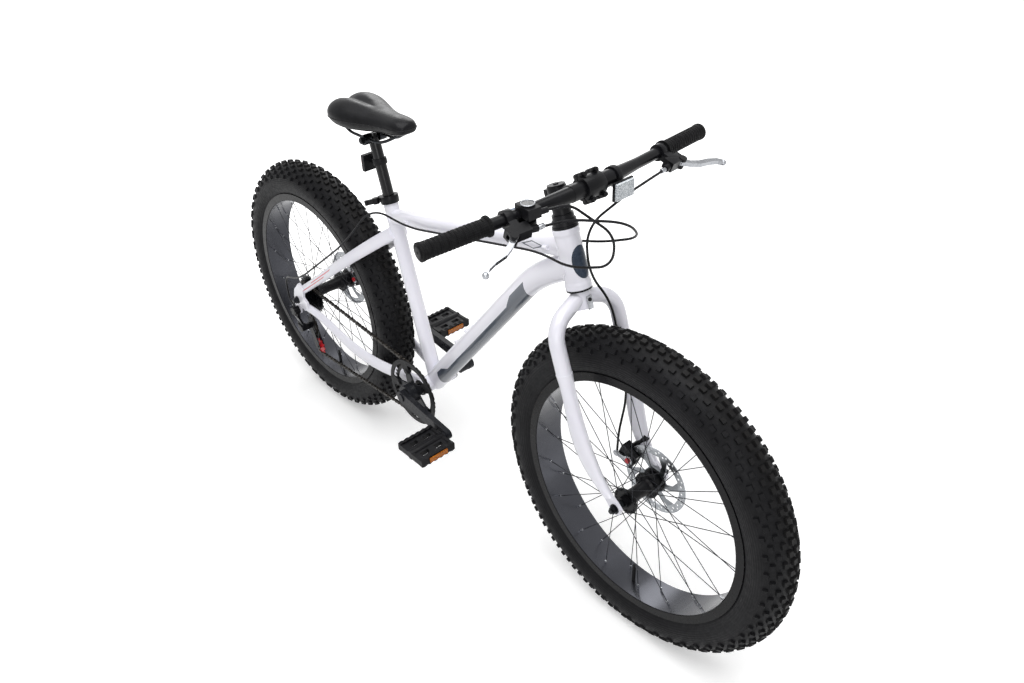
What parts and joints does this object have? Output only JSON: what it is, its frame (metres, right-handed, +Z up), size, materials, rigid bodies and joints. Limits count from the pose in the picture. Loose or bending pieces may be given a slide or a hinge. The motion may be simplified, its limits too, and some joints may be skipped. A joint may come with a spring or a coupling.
{
  "type": "fat tyre bicycle",
  "caption": "Rigid fat tyre bicycle with white frame, disc brakes, rear derailleur, flat pedals and knobbly wide tyres; steering, wheels, cranks and levers all move.",
  "frame": {"origin": "on the ground midway between the two axles, in the centre plane", "axes": "+X forward, +Y to the rider's left, +Z up"},
  "size_m": [1.91, 0.72, 1.0367],
  "materials": {
    "frame_paint": "gloss white",
    "black_anodised": "black anodised",
    "steel_grey": "zinc plated",
    "spoke_steel": "dark",
    "rim_black": "gloss black",
    "tyre_rubber": "matt",
    "tube_rubber": "matt",
    "grip_rubber": "matt",
    "lever_black": "satin black",
    "lever_silver": "satin",
    "rotor_steel": "brushed",
    "shifter_plastic": "satin",
    "reflector_plastic": "clear over black",
    "saddle_cover": "smooth semi-gloss",
    "saddle_steel": "black",
    "crank_alloy": "satin grey",
    "ring_black": "black",
    "pedal_plastic": "satin",
    "chain_steel": "brown black",
    "derailleur_black": "satin black",
    "pulley_plastic": "satin",
    "cable_black": "satin"
  },
  "bodies": {
    "frame": {"head_tube": "frame_paint", "top_tube": "frame_paint", "down_tube": "frame_paint", "seat_tube": "frame_paint", "rear_triangle": "frame_paint", "headset": "black_anodised", "bottom_bracket": "steel_grey", "seat_clamp": "black_anodised", "rear_axle": "steel_grey", "rear_caliper": "lever_black", "rear_brake_cable": "cable_black", "shift_cable": "cable_black", "chain": "chain_steel", "derailleur_body": "derailleur_black"},
    "steering": {"fork_steerer": "steel_grey", "fork_blades": "frame_paint", "headset_spacers": "black_anodised", "stem": "black_anodised", "handlebar": "black_anodised", "grips": "grip_rubber", "lever_brackets": "lever_black", "shifter_body": "shifter_plastic", "front_reflector": "reflector_plastic", "front_caliper": "lever_black", "front_axle": "steel_grey", "front_brake_cable": "cable_black"},
    "front_wheel": {"front_tyre": "tyre_rubber", "front_inner_tube": "tube_rubber", "front_rim": "rim_black", "front_spokes": "spoke_steel", "front_hub": "black_anodised", "front_rotor": "rotor_steel"},
    "rear_wheel": {"rear_tyre": "tyre_rubber", "rear_inner_tube": "tube_rubber", "rear_rim": "rim_black", "rear_spokes": "spoke_steel", "rear_hub": "black_anodised", "rear_rotor": "rotor_steel"},
    "freewheel": {"freewheel_cogs": "ring_black"},
    "crankset": {"crank_axles": "steel_grey", "crank_arms": "crank_alloy", "chainring": "ring_black", "chain_guard": "ring_black"},
    "right_pedal_body": {"right_pedal": "pedal_plastic"},
    "left_pedal_body": {"left_pedal": "pedal_plastic"},
    "right_lever": {"right_lever_blade": "lever_silver"},
    "left_lever": {"left_lever_blade": "lever_silver"},
    "shift_lever": {"thumb_lever": "shifter_plastic"},
    "front_brake_arm": {"front_caliper_arm": "lever_silver"},
    "rear_brake_arm": {"rear_caliper_arm": "lever_silver"},
    "post": {"seatpost": "black_anodised", "rear_reflector": "reflector_plastic"},
    "seat": {"saddle": "saddle_cover", "saddle_base": "saddle_steel"},
    "clamp_lever": {"seat_clamp_lever": "black_anodised"},
    "mech_link": {"derailleur_link": "derailleur_black"},
    "mech_knuckle": {"derailleur_knuckle": "derailleur_black"},
    "mech_cage": {"derailleur_cage": "derailleur_black"},
    "guide_wheel": {"guide_pulley": "pulley_plastic"},
    "tension_wheel": {"tension_pulley": "pulley_plastic"}
  },
  "joints": [
    {"name": "steering", "type": "hinge", "parent": "frame", "child": "steering", "pos_m": [0.406, 0, 0.785], "axis": [-0.309, 0, 0.9511], "range_deg": [-60, 60], "deforming": ["rear_brake_cable", "shift_cable"]},
    {"name": "front_wheel_spin", "type": "hinge", "parent": "steering", "child": "front_wheel", "pos_m": [0.585, 0, 0.37], "axis": [0, 1, 0], "continuous": true},
    {"name": "rear_wheel_spin", "type": "hinge", "parent": "frame", "child": "rear_wheel", "pos_m": [-0.585, 0, 0.37], "axis": [0, 1, 0], "continuous": true},
    {"name": "crank_spin", "type": "hinge", "parent": "frame", "child": "crankset", "pos_m": [-0.098, 0, 0.297], "axis": [0, 1, 0], "continuous": true, "deforming": ["chain"]},
    {"name": "freewheel_spin", "type": "hinge", "parent": "frame", "child": "freewheel", "pos_m": [-0.585, 0, 0.37], "axis": [0, 1, 0], "continuous": true},
    {"name": "right_pedal_spin", "type": "hinge", "parent": "crankset", "child": "right_pedal_body", "pos_m": [0.07289, -0.099, 0.27753], "axis": [0, 1, 0], "continuous": true},
    {"name": "left_pedal_spin", "type": "hinge", "parent": "crankset", "child": "left_pedal_body", "pos_m": [-0.26889, 0.099, 0.31647], "axis": [0, 1, 0], "continuous": true},
    {"name": "right_brake_lever", "type": "hinge", "parent": "steering", "child": "right_lever", "pos_m": [0.45279, -0.20647, 0.98411], "axis": [-0.341, 0.077, -0.9369], "range_deg": [0, 20], "stiffness_Nm_per_rad": 1.5, "springref_deg": -5.73},
    {"name": "left_brake_lever", "type": "hinge", "parent": "steering", "child": "left_lever", "pos_m": [0.44952, 0.23247, 0.98316], "axis": [0.341, 0.077, 0.9369], "range_deg": [0, 20], "stiffness_Nm_per_rad": 1.5, "springref_deg": -5.73},
    {"name": "front_caliper_pull", "type": "hinge", "parent": "steering", "child": "front_brake_arm", "pos_m": [0.52381, 0.035, 0.39472], "axis": [0, 1, 0], "range_deg": [0, 12]},
    {"name": "rear_caliper_pull", "type": "hinge", "parent": "frame", "child": "rear_brake_arm", "pos_m": [-0.52471, 0.054, 0.39685], "axis": [0, 1, 0], "range_deg": [0, 12]},
    {"name": "gear_shift", "type": "hinge", "parent": "steering", "child": "shift_lever", "pos_m": [0.42623, -0.15121, 0.97927], "axis": [0.0045, 0.0358, -0.9993], "range_deg": [0, 25], "stiffness_Nm_per_rad": 0.3, "springref_deg": -5.73},
    {"name": "seatpost_slide", "type": "slide", "parent": "frame", "child": "post", "axis": [-0.2504, 0, 0.9681], "range_m": [-0.025, 0.045]},
    {"name": "saddle_tilt", "type": "hinge", "parent": "post", "child": "seat", "pos_m": [-0.25624, 0, 0.90887], "axis": [0, 1, 0], "range_deg": [-12, 12]},
    {"name": "clamp_release", "type": "hinge", "parent": "frame", "child": "clamp_lever", "pos_m": [-0.24436, -0.022, 0.75907], "axis": [-0.2504, 0, 0.9681], "range_deg": [0, 100]},
    {"name": "derailleur_shift", "type": "hinge", "parent": "frame", "child": "mech_link", "pos_m": [-0.591, -0.112, 0.3215], "axis": [1, 0, 0], "range_deg": [-18, 18], "deforming": ["chain"]},
    {"name": "derailleur_level", "type": "hinge", "parent": "mech_link", "child": "mech_knuckle", "pos_m": [-0.591, -0.1, 0.289], "axis": [1, 0, 0], "range_deg": [-18, 18]},
    {"name": "cage_swing", "type": "hinge", "parent": "mech_knuckle", "child": "mech_cage", "pos_m": [-0.586, -0.07, 0.274], "axis": [0, 1, 0], "range_deg": [-20, 15], "stiffness_Nm_per_rad": 0.6, "deforming": ["chain"]},
    {"name": "guide_pulley_spin", "type": "hinge", "parent": "mech_cage", "child": "guide_wheel", "pos_m": [-0.586, -0.07, 0.274], "axis": [0, 1, 0], "continuous": true},
    {"name": "tension_pulley_spin", "type": "hinge", "parent": "mech_cage", "child": "tension_wheel", "pos_m": [-0.55977, -0.07, 0.21126], "axis": [0, 1, 0], "continuous": true}
  ],
  "couplings": [
    {"joint": "freewheel_spin", "follows": "crank_spin", "ratio": 1.9},
    {"joint": "guide_pulley_spin", "follows": "crank_spin", "ratio": -3.4545},
    {"joint": "tension_pulley_spin", "follows": "crank_spin", "ratio": 3.4545},
    {"joint": "rear_caliper_pull", "follows": "right_brake_lever", "ratio": 0.6},
    {"joint": "front_caliper_pull", "follows": "left_brake_lever", "ratio": 0.6},
    {"joint": "derailleur_level", "follows": "derailleur_shift", "ratio": -1}
  ]
}
